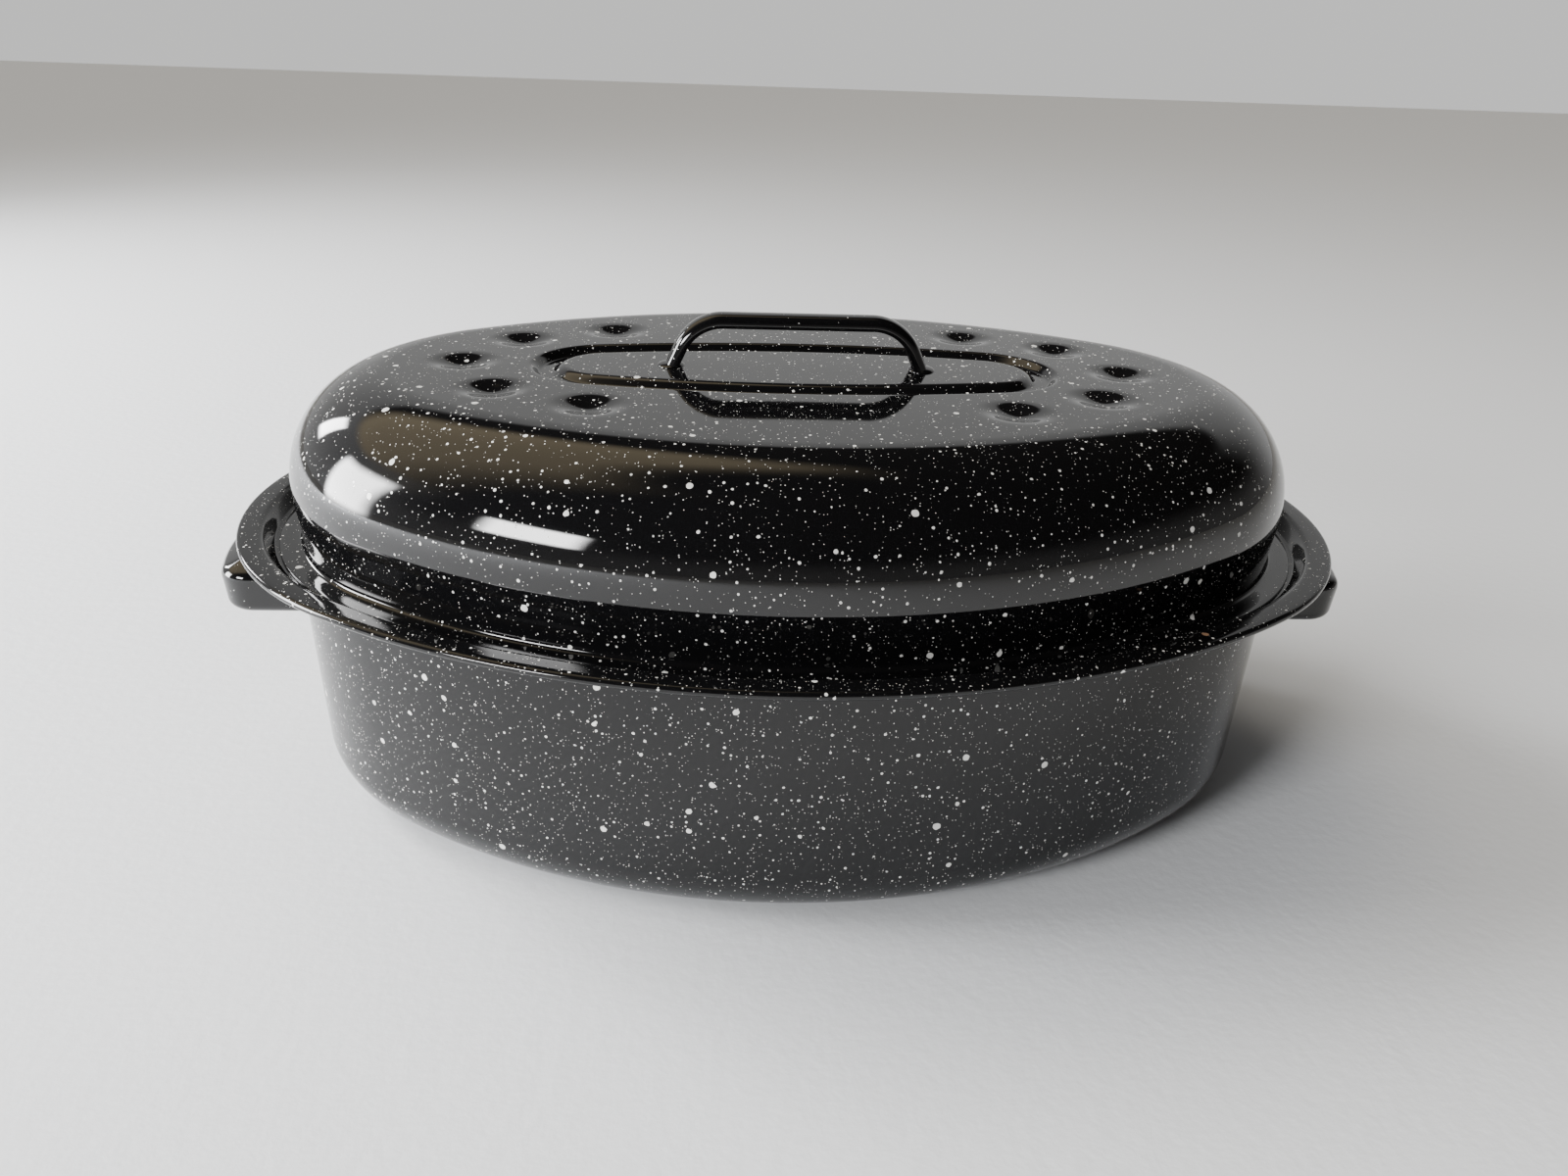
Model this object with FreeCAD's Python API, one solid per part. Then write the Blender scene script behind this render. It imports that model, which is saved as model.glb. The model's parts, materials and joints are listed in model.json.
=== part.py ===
"""Oval covered roaster in enamelled steel: a deep pan, a domed lid and a lift-out wire rack.

The origin is the middle of the pan's flat underside, +Z is up, X runs along the oval and Y across it.
Millimetres throughout. Each piece is written to parts/NODE.step.

The pan, the lid and the groove in the lid are four-centre ovals: two end arcs and two side arcs that
meet at a tangent. A curve set in by the same distance all round keeps the same four centres, so every
wall is one sheet section swept round them.
"""
import FreeCAD, Part
import math
import os

Vector = FreeCAD.Vector
UP = Vector(0, 0, 1)

# --- Driving dimensions --------------------------------------------------------------------------
RIM_LENGTH = 457.2  # outer edge to outer edge of the pan's rim, the 18 inch size
RIM_WIDTH = 324.0
RIM_END_RADIUS = 130.0
PAN_HEIGHT = 116.5
SHEET = 1.0  # steel with its enamel
FLANGE_BEND = 2.5  # where a flange turns into a wall, on the pan and on the lid

# Pan section, as insets from the rim's outer edge and heights
RIM_FLANGE = 9.0
BEAD_HEIGHT = 3.0
BEAD_RETURN = 2.2
BEAD_BEND_SHARE = 0.98  # of half the bead's height, so that its two bends stay apart
STEP_FOOT = 13.2
STEP_BEND = 2.2
LEDGE_TOP = 109.5
WALL_TOP_INSET = 21.5
WALL_FOOT_INSET = 24.0
FOOT_RADIUS = 24.0
FLOOR_INSET = 60.0

# Lid section, in the same insets and heights
LID_EDGE_INSET = 15.0
LID_WALL_INSET = 25.0
LID_SHOULDER_INSET = 19.4
LID_SHOULDER_RADIUS = 41.5
LID_TOP = 176.5
LID_FLAT_INSET = 70.0

# Oval groove pressed into the lid's top
GROOVE_LENGTH = 218.0
GROOVE_WIDTH = 78.6
GROOVE_END_RADIUS = 31.5
GROOVE_ACROSS = 12.8
GROOVE_SLOPE = 3.2
GROOVE_DEPTH = 3.0
GROOVE_BENDS = (2.5, 3.0, 3.0, 5.0)  # from the outer edge to the softer edge of the panel
GROOVE_BORDER = 4.0

# Round dimples pressed into the lid's top, given for one quarter and the end
DIMPLE_PLACES = ((79.5, 58.0), (118.0, 38.5), (136.5, 0.0))
DIMPLE_WIDTH = 22.0
DIMPLE_DEPTH = 3.0

# Strap handle on the lid
LID_STRAP_WIDTH = 12.0
LID_STRAP_HEIGHT = 5.5
LID_STRAP_SHEET = 1.3
LID_STRAP_FOLD = 2.4  # inner radius of the channel's long edges
LID_STRAP_RISE = 22.0
LID_STRAP_STRAIGHT = 61.0
LID_STRAP_BEND = 22.0
LID_STRAP_TURN = 65.0
LID_TAB_LENGTH = 8.6

# Channel handles on the ends of the pan
GRIP_REACH = 238.5  # from the middle of the pan to the outer face
GRIP_FACE_RADIUS = 120.0
GRIP_FACE_TURN = 18.0
GRIP_CORNER_RADIUS = 14.0
GRIP_SHEET = 1.2
GRIP_SECTION = ((9.0, 103.0), (0.6, 99.4), (1.6, 83.8), (8.0, 83.0))
GRIP_SECTION_RADIUS = 3.6
GRIP_TAB_LENGTH = 13.0

# Wire rack
RACK_RING_INSET = 44.0
RACK_RING_WIRE = 4.5
RACK_RING_LEVEL = 16.0
RACK_RAIL_WIRE = 4.0
RACK_RAIL_OFFSET = 42.0
RACK_CROSS_WIRE = 3.0
RACK_CROSS_COUNT = 11
RACK_CROSS_SPACING = 29.0
RACK_LEG_WIRE = 3.5
RACK_LEG_PLACE = 118.0
RACK_LEG_SPREAD = 22.0
RACK_FLOOR_GAP = 0.3
RACK_LOOP_WIRE = 3.5
RACK_LOOP_WIDTH = 64.0
RACK_LOOP_RISE = 21.0
RACK_LOOP_CORNER = 8.0


# --- Ovals and sheet sections --------------------------------------------------------------------
class Oval:
    """A four-centre oval, long axis on X, with its outer edge as the line that insets count from."""

    def __init__(self, length, width, end_radius):
        half_length, half_width = length / 2, width / 2
        self.end_radius = end_radius
        self.end_centre = half_length - end_radius
        self.side_radius = (self.end_centre**2 + half_width**2 - end_radius**2) / (
            2 * (half_width - end_radius)
        )
        self.side_centre = self.side_radius - half_width
        self.split = math.degrees(math.atan2(self.side_centre, self.end_centre))

    def arcs(self):
        """The four arcs, each as centre, radius, start angle and turn in degrees."""
        side_turn = 180 - 2 * self.split
        return (
            (Vector(self.end_centre, 0, 0), self.end_radius, -self.split, 2 * self.split),
            (Vector(0, -self.side_centre, 0), self.side_radius, self.split, side_turn),
            (Vector(-self.end_centre, 0, 0), self.end_radius, 180 - self.split, 2 * self.split),
            (Vector(0, self.side_centre, 0), self.side_radius, 180 + self.split, side_turn),
        )

    def reach(self, inset, y):
        """Half-length of the inset oval at a distance y from its long axis, within the end arcs."""
        return self.end_centre + math.sqrt((self.end_radius - inset) ** 2 - y**2)

    def spread(self, inset, x):
        """Half-width of the inset oval at a distance x from its short axis."""
        if abs(x) > (self.side_radius - inset) * math.cos(math.radians(self.split)):
            return math.sqrt((self.end_radius - inset) ** 2 - (abs(x) - self.end_centre) ** 2)
        return math.sqrt((self.side_radius - inset) ** 2 - x**2) - self.side_centre

    def plate(self, inset, bottom, thickness):
        """A flat plate with the inset oval as its outline."""
        edges = []
        for centre, radius, start, turn in self.arcs():
            points = [
                centre + polar(radius - inset, start + turn * part) + UP * bottom
                for part in (0, 0.5, 1)
            ]
            edges.append(Part.Arc(*points).toShape())
        return Part.Face(Part.Wire(edges)).extrude(UP * thickness)

    def ring(self, section):
        """Sweeps a closed section, given as edges in inset and height, round the four centres."""
        sectors = []
        for centre, radius, start, turn in self.arcs():
            face = Part.Face(Part.Wire([edge(radius) for edge in section]))
            face.rotate(Vector(), UP, start)
            face.translate(centre)
            sectors.append(face.revolve(centre, UP, turn))
        return join(sectors)


def polar(radius, degrees):
    """A flat vector of the given length and direction."""
    angle = math.radians(degrees)
    return Vector(radius * math.cos(angle), radius * math.sin(angle), 0)


def join(solids):
    """Fuses solids that share faces into one clean solid."""
    shape = solids[0].multiFuse(solids[1:]).removeSplitter()
    return shape.Solids[0] if len(shape.Solids) == 1 else shape


def line_edge(a, b):
    """A straight edge of a section, made once the radius of the sweep is known."""
    return lambda radius: Part.makeLine(at(a, radius), at(b, radius))


def arc_edge(a, middle, b):
    """A round edge of a section, made once the radius of the sweep is known."""
    return lambda radius: Part.Arc(at(a, radius), at(middle, radius), at(b, radius)).toShape()


def at(point, radius):
    """Places an inset and a height on the radial plane of a sweep of the given radius."""
    return Vector(radius - point[0], 0, point[1])


def unit(a, b):
    """Unit direction from a to b in a section."""
    length = math.dist(a, b)
    return ((b[0] - a[0]) / length, (b[1] - a[1]) / length)


def sheet_section(path, radii, thickness):
    """Closed section of a bent sheet.

    path holds the corners of the sheet's middle line and radii the bend at each inner corner. The two
    faces are the same line moved half a thickness to each side, with their bends on the same centres.
    """
    half = thickness / 2
    sides = {half: [], -half: []}
    for side, edges in sides.items():
        last = moved(path[0], unit(path[0], path[1]), side)
        for before, corner, after, radius in zip(path, path[1:], path[2:], radii):
            into, out = unit(before, corner), unit(corner, after)
            cross = into[0] * out[1] - into[1] * out[0]
            turn = math.atan2(cross, into[0] * out[0] + into[1] * out[1])
            tangent = radius * math.tan(abs(turn) / 2)
            left = math.copysign(1, turn)
            start = (corner[0] - into[0] * tangent, corner[1] - into[1] * tangent)
            end = (corner[0] + out[0] * tangent, corner[1] + out[1] * tangent)
            centre = moved(start, into, left * radius)
            reach = (radius - left * side) / math.dist(centre, corner)
            middle = tuple(c + (p - c) * reach for c, p in zip(centre, corner))
            arc_start, arc_end = moved(start, into, side), moved(end, out, side)
            edges.append(line_edge(last, arc_start))
            edges.append(arc_edge(arc_start, middle, arc_end))
            last = arc_end
        finish = moved(path[-1], unit(path[-2], path[-1]), side)
        edges.append(line_edge(last, finish))
    first = [moved(path[0], unit(path[0], path[1]), side) for side in sides]
    final = [moved(path[-1], unit(path[-2], path[-1]), side) for side in sides]
    ends = [line_edge(*final)], [line_edge(*first)]
    return sides[half] + ends[0] + sides[-half][::-1] + ends[1]


def moved(point, direction, left):
    """Moves a section point to the left of a direction."""
    return (point[0] - direction[1] * left, point[1] + direction[0] * left)


RIM_OVAL = Oval(RIM_LENGTH, RIM_WIDTH, RIM_END_RADIUS)
GROOVE_OVAL = Oval(GROOVE_LENGTH, GROOVE_WIDTH, GROOVE_END_RADIUS)


# --- Pan -----------------------------------------------------------------------------------------
def pan_shell():
    """The pan: rolled rim, flange, recessed ledge for the lid, wall, rounded foot and flat floor."""
    half = SHEET / 2
    curl = BEAD_HEIGHT / 2 - half
    flange, ledge = PAN_HEIGHT - half, LEDGE_TOP - half
    path = (
        (BEAD_RETURN, flange - 2 * curl),
        (half, flange - 2 * curl),
        (half, flange),
        (RIM_FLANGE, flange),
        (STEP_FOOT, ledge),
        (WALL_TOP_INSET, ledge),
        (WALL_FOOT_INSET, half),
        (FLOOR_INSET, half),
    )
    bead_bend = curl * BEAD_BEND_SHARE
    radii = (bead_bend, bead_bend, STEP_BEND, STEP_BEND, FLANGE_BEND, FOOT_RADIUS)
    wall = RIM_OVAL.ring(sheet_section(path, radii, SHEET))
    return join([wall, RIM_OVAL.plate(FLOOR_INSET, 0, SHEET)])


def wall_inset(height):
    """Inset of the outside of the pan's wall at a height between the ledge and the foot."""
    run = (LEDGE_TOP - SHEET / 2 - height) / (LEDGE_TOP - SHEET)
    slope = (WALL_FOOT_INSET - WALL_TOP_INSET) / (LEDGE_TOP - SHEET)
    return WALL_TOP_INSET + run * (WALL_FOOT_INSET - WALL_TOP_INSET) - SHEET / 2 * math.hypot(1, slope)


def wall_layer(bottom, top, outwards, inwards):
    """A ring that follows the outside of the pan's wall, from outwards of it to inwards of it."""
    corners = (
        (wall_inset(bottom) - outwards, bottom),
        (wall_inset(top) - outwards, top),
        (wall_inset(top) + inwards, top),
        (wall_inset(bottom) + inwards, bottom),
    )
    return RIM_OVAL.ring([line_edge(a, b) for a, b in zip(corners, corners[1:] + corners[:1])])


def end_handle():
    """The right-hand handle: a channel bent round to the pan's end, with a welded tab inside each foot."""
    section = sheet_section(GRIP_SECTION, (GRIP_SECTION_RADIUS, GRIP_SECTION_RADIUS), GRIP_SHEET)
    corner = Vector(GRIP_REACH - GRIP_FACE_RADIUS, 0, 0) + polar(
        GRIP_FACE_RADIUS - GRIP_CORNER_RADIUS, -GRIP_FACE_TURN
    )
    half_width = GRIP_CORNER_RADIUS - corner.y
    foot = Vector(RIM_OVAL.reach(WALL_FOOT_INSET, half_width) - GRIP_CORNER_RADIUS, -half_width, 0)
    leg = corner.x - foot.x
    corner_turn = 90 - GRIP_FACE_TURN
    moves = (
        run(leg),
        bend(GRIP_CORNER_RADIUS, corner_turn),
        bend(GRIP_FACE_RADIUS, 2 * GRIP_FACE_TURN),
        bend(GRIP_CORNER_RADIUS, corner_turn),
        run(leg),
    )
    channel = bent_strip(section, foot, 0, moves)
    low, high = GRIP_SECTION[2][1], GRIP_SECTION[1][1]
    channel = channel.cut(wall_layer(FOOT_RADIUS, LEDGE_TOP - 2 * SHEET, 0, FLOOR_INSET))
    tabs = wall_layer(low, high, GRIP_SHEET, 0)
    solids = [channel]
    for side in (1, -1):
        middle = side * (half_width - GRIP_TAB_LENGTH / 2)
        solids.append(tabs.common(block(foot.x, foot.x + leg, middle, GRIP_TAB_LENGTH, low, high)))
    return join(solids)


def block(x_low, x_high, y_middle, y_width, z_low, z_high):
    """A box given by its X and Z spans and by the middle and width of its Y span."""
    corner = Vector(x_low, y_middle - y_width / 2, z_low)
    return Part.makeBox(x_high - x_low, y_width, z_high - z_low, corner)


def turned(shape, degrees, axis=UP):
    """A copy of a shape turned about an axis through the origin."""
    copy = shape.copy()
    copy.rotate(Vector(), axis, degrees)
    return copy


def run(length):
    """A straight stretch of a bent strip."""
    return (length, 0)


def bend(radius, turn):
    """A stretch of a bent strip that turns left about a centre at the given radius."""
    return (radius, turn)


def bent_strip(section, start, heading, moves):
    """Sweeps a section along flat runs and left-hand bends; its insets count towards the inside."""
    pieces = []
    for size, turn in moves:
        face = Part.Face(Part.Wire([edge(0) for edge in section]))
        face.rotate(Vector(), UP, heading - 90)
        face.translate(start)
        if turn:
            centre = start + polar(size, heading + 90)
            pieces.append(face.revolve(centre, UP, turn))
            heading += turn
            start = centre + polar(size, heading - 90)
        else:
            pieces.append(face.extrude(polar(size, heading)))
            start = start + polar(size, heading)
    return join(pieces)


# --- Lid -----------------------------------------------------------------------------------------
def lid_shell():
    """The lid: flange on the ledge, inset wall, broad shoulder, and a grooved and dimpled top."""
    half = SHEET / 2
    flange, top = LEDGE_TOP + half, LID_TOP - half
    path = (
        (LID_EDGE_INSET, flange),
        (LID_WALL_INSET, flange),
        (LID_SHOULDER_INSET, top),
        (LID_FLAT_INSET, top),
    )
    dome = RIM_OVAL.ring(sheet_section(path, (FLANGE_BEND, LID_SHOULDER_RADIUS), SHEET))
    inner = GROOVE_ACROSS + GROOVE_BORDER
    flat = RIM_OVAL.plate(LID_FLAT_INSET, top - half, SHEET)
    flat = flat.cut(GROOVE_OVAL.plate(-GROOVE_BORDER, top - half, SHEET))
    panel = GROOVE_OVAL.plate(inner, top - half, SHEET)
    for x, y in dimple_places():
        flat = dimpled(flat, x, y)
    return join([dome, flat, groove(top), panel])


def groove(level):
    """The oval channel pressed down round the middle panel."""
    path = (
        (-GROOVE_BORDER, level),
        (0, level),
        (GROOVE_SLOPE, level - GROOVE_DEPTH),
        (GROOVE_ACROSS - GROOVE_SLOPE, level - GROOVE_DEPTH),
        (GROOVE_ACROSS, level),
        (GROOVE_ACROSS + GROOVE_BORDER, level),
    )
    return GROOVE_OVAL.ring(sheet_section(path, GROOVE_BENDS, SHEET))


def dimple_places():
    """The middles of all the dimples, from those of one quarter."""
    places = set()
    for x, y in DIMPLE_PLACES:
        places |= {(x, y), (-x, y), (x, -y), (-x, -y)}
    return sorted(places)


def dimpled(plate, x, y):
    """Presses one round dimple into the top plate."""
    radius = ((DIMPLE_WIDTH / 2) ** 2 + DIMPLE_DEPTH**2) / (2 * DIMPLE_DEPTH)
    centre = Vector(x, y, LID_TOP + radius - DIMPLE_DEPTH)
    outer = Part.makeSphere(radius + SHEET, centre)
    below = block(x - radius, x + radius, y, 2 * radius, LID_TOP - radius, LID_TOP)
    cup = outer.common(below).cut(Part.makeSphere(radius, centre))
    return join([plate.cut(outer), cup])


def lid_handle():
    """The strap handle: a channel bent to a loop, with a small tab under each foot."""
    half = LID_STRAP_SHEET / 2
    side = LID_STRAP_WIDTH / 2 - half
    depth = LID_STRAP_HEIGHT - half
    path = ((depth, -side), (half, -side), (half, side), (depth, side))
    fold = LID_STRAP_FOLD + half
    section = sheet_section(path, (fold, fold), LID_STRAP_SHEET)
    drop = LID_STRAP_BEND * (1 - math.cos(math.radians(LID_STRAP_TURN)))
    steep = math.sin(math.radians(LID_STRAP_TURN))
    leg = (LID_STRAP_RISE - drop) / steep
    reach = LID_STRAP_STRAIGHT / 2 + LID_STRAP_BEND * steep + leg * math.cos(math.radians(LID_STRAP_TURN))
    extra = LID_STRAP_HEIGHT
    foot = Vector(reach, 0, 0) - polar(extra, 180 - LID_STRAP_TURN)
    moves = (
        run(leg + extra),
        bend(LID_STRAP_BEND, LID_STRAP_TURN),
        run(LID_STRAP_STRAIGHT),
        bend(LID_STRAP_BEND, LID_STRAP_TURN),
        run(leg + extra),
    )
    strap = turned(bent_strip(section, foot, 180 - LID_STRAP_TURN, moves), 90, Vector(1, 0, 0))
    strap = strap.cut(block(-RIM_LENGTH, RIM_LENGTH, 0, RIM_WIDTH, -RIM_WIDTH, 0))
    solids = [strap]
    for end in (1, -1):
        middle = end * (reach - LID_STRAP_HEIGHT / 2)
        low, high = middle - LID_TAB_LENGTH / 2, middle + LID_TAB_LENGTH / 2
        solids.append(block(low, high, 0, LID_STRAP_WIDTH, 0, LID_STRAP_SHEET))
    handle = join(solids)
    handle.translate(UP * LID_TOP)
    return handle


# --- Rack ----------------------------------------------------------------------------------------
def round_section(inset, height, diameter):
    """The closed section of a round wire."""
    half = diameter / 2
    top, bottom = (inset, height + half), (inset, height - half)
    return [arc_edge(bottom, (inset - half, height), top), arc_edge(top, (inset + half, height), bottom)]


def rod(start, end, diameter):
    """A straight round wire between two points."""
    return Part.makeCylinder(diameter / 2, (end - start).Length, start, end - start)


def rack_ring():
    """The oval wire that edges the rack."""
    return RIM_OVAL.ring(round_section(RACK_RING_INSET, RACK_RING_LEVEL, RACK_RING_WIRE))


def rack_rail(ring, y):
    """One of the two long wires under the cross wires, with its ends fitted to the ring."""
    level = RACK_RING_LEVEL + (RACK_RING_WIRE - RACK_RAIL_WIRE) / 2
    reach = RIM_OVAL.reach(RACK_RING_INSET, y)
    return rod(Vector(-reach, y, level), Vector(reach, y, level), RACK_RAIL_WIRE).cut(ring)


def rack_cross_wire(x):
    """One cross wire, lying on the ring and the two rails."""
    level = RACK_RING_LEVEL + (RACK_RING_WIRE + RACK_CROSS_WIRE) / 2
    spread = RIM_OVAL.spread(RACK_RING_INSET, x)
    return rod(Vector(x, -spread, level), Vector(x, spread, level), RACK_CROSS_WIRE)


def rack_leg(x, y):
    """One leg, a wire bent to a U that hangs under a rail."""
    rail_foot = RACK_RING_LEVEL + RACK_RING_WIRE / 2 - RACK_RAIL_WIRE
    sole = SHEET + RACK_FLOOR_GAP + RACK_LEG_WIRE / 2
    corner = RACK_LEG_WIRE
    fall = rail_foot - sole - corner
    flat = RACK_LEG_SPREAD - 2 * corner
    moves = (run(fall), bend(corner, 90), run(flat), bend(corner, 90), run(fall))
    start = Vector(-RACK_LEG_SPREAD / 2, rail_foot, 0)
    leg = turned(bent_strip(round_section(0, 0, RACK_LEG_WIRE), start, -90, moves), 90, Vector(1, 0, 0))
    leg.translate(Vector(x, y, 0))
    return leg


def rack_lift_loop(ring):
    """The right-hand loop to lift the rack by, standing on the ring."""
    rise = RACK_LOOP_RISE - RACK_LOOP_CORNER
    flat = RACK_LOOP_WIDTH - 2 * RACK_LOOP_CORNER
    moves = (run(rise), bend(RACK_LOOP_CORNER, 90), run(flat), bend(RACK_LOOP_CORNER, 90), run(rise))
    start = Vector(RACK_LOOP_WIDTH / 2, RACK_RING_LEVEL, 0)
    loop = bent_strip(round_section(0, 0, RACK_LOOP_WIRE), start, 90, moves)
    loop = turned(turned(loop, 90, Vector(1, 0, 0)), 90)
    loop.translate(Vector(RIM_OVAL.reach(RACK_RING_INSET, RACK_LOOP_WIDTH / 2), 0, 0))
    return loop.cut(ring)


def rack_pieces():
    """Every wire of the rack by name."""
    ring = rack_ring()
    loop = rack_lift_loop(ring)
    pieces = {"rack_ring": ring, "rack_lift_loop_right": loop, "rack_lift_loop_left": turned(loop, 180)}
    for name, y in (("front", -RACK_RAIL_OFFSET), ("back", RACK_RAIL_OFFSET)):
        pieces[f"rack_rail_{name}"] = rack_rail(ring, y)
        pieces[f"rack_leg_{name}_left"] = rack_leg(-RACK_LEG_PLACE, y)
        pieces[f"rack_leg_{name}_right"] = rack_leg(RACK_LEG_PLACE, y)
    for number in range(RACK_CROSS_COUNT):
        x = (number - (RACK_CROSS_COUNT - 1) / 2) * RACK_CROSS_SPACING
        pieces[f"rack_cross_wire_{number + 1:02d}"] = rack_cross_wire(x)
    return pieces


def main():
    """Builds every piece and writes one STEP file for each."""
    handle = end_handle()
    pieces = {
        "pan_shell": pan_shell(),
        "end_handle_right": handle,
        "end_handle_left": turned(handle, 180),
        "lid_shell": lid_shell(),
        "lid_handle": lid_handle(),
    }
    pieces.update(rack_pieces())
    os.makedirs("parts", exist_ok=True)
    for name, shape in pieces.items():
        shape.exportStep(f"parts/{name}.step")
        print(name, shape.isValid(), len(shape.Solids), round(shape.Volume, 1), shape.BoundBox)


main()
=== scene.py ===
"""Looks of the oval covered roaster: enamelled pan and lid, formed handles, and a wire rack inside.

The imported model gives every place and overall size. Each sub-assembly below is a class that holds its
own remaining sizes in metres, builds its meshes and dresses them.
"""

import json
import logging
import math
from collections.abc import Callable, Sequence
from dataclasses import dataclass
from enum import Enum

import bpy
from mathutils import Matrix, Vector

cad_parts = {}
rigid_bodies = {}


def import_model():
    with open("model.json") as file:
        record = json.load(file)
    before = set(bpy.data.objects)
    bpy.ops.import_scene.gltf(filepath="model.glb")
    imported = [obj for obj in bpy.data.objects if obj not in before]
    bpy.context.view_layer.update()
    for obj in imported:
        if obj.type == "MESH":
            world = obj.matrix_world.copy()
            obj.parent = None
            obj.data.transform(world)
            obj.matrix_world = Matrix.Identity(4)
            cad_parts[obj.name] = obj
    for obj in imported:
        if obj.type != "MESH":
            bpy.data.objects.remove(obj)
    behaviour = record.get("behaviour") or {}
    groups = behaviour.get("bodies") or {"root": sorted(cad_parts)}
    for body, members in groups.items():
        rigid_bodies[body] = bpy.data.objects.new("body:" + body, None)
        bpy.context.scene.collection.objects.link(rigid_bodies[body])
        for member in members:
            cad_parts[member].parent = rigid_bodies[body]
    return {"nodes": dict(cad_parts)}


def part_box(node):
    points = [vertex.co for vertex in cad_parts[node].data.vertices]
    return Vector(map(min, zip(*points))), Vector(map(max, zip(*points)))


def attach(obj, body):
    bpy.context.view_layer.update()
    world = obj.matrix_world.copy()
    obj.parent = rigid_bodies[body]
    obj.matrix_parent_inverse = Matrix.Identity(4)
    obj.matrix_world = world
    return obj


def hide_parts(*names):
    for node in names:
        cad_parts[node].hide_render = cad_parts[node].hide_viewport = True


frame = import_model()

log = logging.getLogger("roaster")

Point = tuple[float, float]
Piece = bpy.types.Object
Tree = bpy.types.NodeTree
Socket = bpy.types.NodeSocket

MM = 0.001
MERGE_DISTANCE = 1e-6
SEAM_DISTANCE = MERGE_DISTANCE * 10  # where a spin meets its start, or a half meets its mirror image
ON_LINE = 0.1 * MM  # how near to a line of a section a vertex counts as on it
AT_LEVEL = 0.05 * MM  # the same for a height
STRAIGHT_STRETCH = 3.0  # how much further apart points are along a straight than round a bend
FEWEST_BEND_STEPS = 4
END_STEPS = 84  # faces round each end of an oval
SIDE_STEPS = 92  # faces along each side
EDGE_SEGMENTS = 3  # faces round a cut edge
EDGE_ANGLE = math.radians(50)  # a cut edge is sharper than this
SMOOTH_ANGLE = math.radians(40)
UP = (0, 0, 1)

SHEET = 1.0 * MM
SHEET_EDGE = 0.35 * MM  # radius on the sheet's cut edges
RIM_END_RADIUS = 130 * MM  # of the arcs at the rim's ends
WALL_TOP = 21.5 * MM  # insets of the pan's wall at the ledge and at the foot
WALL_FOOT = 24.0 * MM
EDGE_CLEARANCE = 0.01 * MM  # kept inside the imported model's box


# --- Outlines ------------------------------------------------------------------------------------
@dataclass(frozen=True)
class Arc:
    """One arc of an oval: its centre on the ground plane, its radius and its span in degrees."""

    centre: Vector
    radius: float
    start: float
    turn: float


@dataclass(frozen=True)
class Oval:
    """A four-centre oval, long axis on X, whose outer edge is the line that insets count from."""

    half_length: float
    half_width: float
    end_radius: float

    @property
    def end_centre(self) -> float:
        """Distance of an end arc's centre from the middle."""
        return self.half_length - self.end_radius

    @property
    def side_radius(self) -> float:
        """Radius of a side arc that meets the end arcs at a tangent."""
        squares = self.end_centre**2 + self.half_width**2 - self.end_radius**2
        return squares / (2 * (self.half_width - self.end_radius))

    @property
    def side_centre(self) -> float:
        """Distance of a side arc's centre from the middle."""
        return self.side_radius - self.half_width

    @property
    def split(self) -> float:
        """Direction, in degrees from the long axis, where an end arc meets a side arc."""
        return math.degrees(math.atan2(self.side_centre, self.end_centre))

    def arcs(self) -> list[Arc]:
        """Lists the four arcs, anticlockwise from the near foot of the right end.

        Returns:
            The arcs.
        """
        side_turn = 180 - 2 * self.split
        return [
            Arc(Vector((self.end_centre, 0, 0)), self.end_radius, -self.split, 2 * self.split),
            Arc(Vector((0, -self.side_centre, 0)), self.side_radius, self.split, side_turn),
            Arc(Vector((-self.end_centre, 0, 0)), self.end_radius, 180 - self.split, 2 * self.split),
            Arc(Vector((0, self.side_centre, 0)), self.side_radius, 180 + self.split, side_turn),
        ]

    def inset_of(self, at: Vector) -> float:
        """Measures how far inside the outline a place lies, seen from above.

        Args:
            at: the place.

        Returns:
            The inset, which is negative outside the outline.
        """
        x, y = abs(at.x), abs(at.y)
        past = x - self.end_centre
        if past > 0 and math.atan2(y, past) <= math.radians(self.split):
            return self.end_radius - math.hypot(past, y)
        return self.side_radius - math.hypot(x, y + self.side_centre)

    def is_on(self, at: Vector, inset: float) -> bool:
        """Says whether a place is on the line at an inset."""
        return abs(self.inset_of(at) - inset) < ON_LINE


def polar(radius: float, degrees: float) -> Vector:
    """Makes a flat vector of the given length and direction."""
    angle = math.radians(degrees)
    return Vector((radius * math.cos(angle), radius * math.sin(angle), 0))


def bent_line(corners: Sequence[Point], radii: Sequence[float], spacing: float) -> list[Vector]:
    """Draws the middle line of a bent sheet.

    Args:
        corners: the line's ends and the corners between them, each as two coordinates.
        radii: the bend at each corner.
        spacing: the largest step round a bend. Steps along a straight are longer.

    Returns:
        The points in order.
    """
    points = [Vector(corners[0])]
    for before, corner, after, radius in zip(corners, corners[1:], corners[2:], radii):
        into = (Vector(corner) - Vector(before)).normalized()
        out = (Vector(after) - Vector(corner)).normalized()
        turn = math.atan2(into.x * out.y - into.y * out.x, into.dot(out))
        start = Vector(corner) - into * (radius * math.tan(abs(turn) / 2))
        centre = start + Vector((-into.y, into.x)) * math.copysign(radius, turn)
        add_straight(points, start, spacing * STRAIGHT_STRETCH)
        steps = max(FEWEST_BEND_STEPS, math.ceil(abs(turn) * radius / spacing))
        for step in range(1, steps + 1):
            points.append(centre + Matrix.Rotation(turn * step / steps, 2) @ (start - centre))
    add_straight(points, Vector(corners[-1]), spacing * STRAIGHT_STRETCH)
    return points


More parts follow.
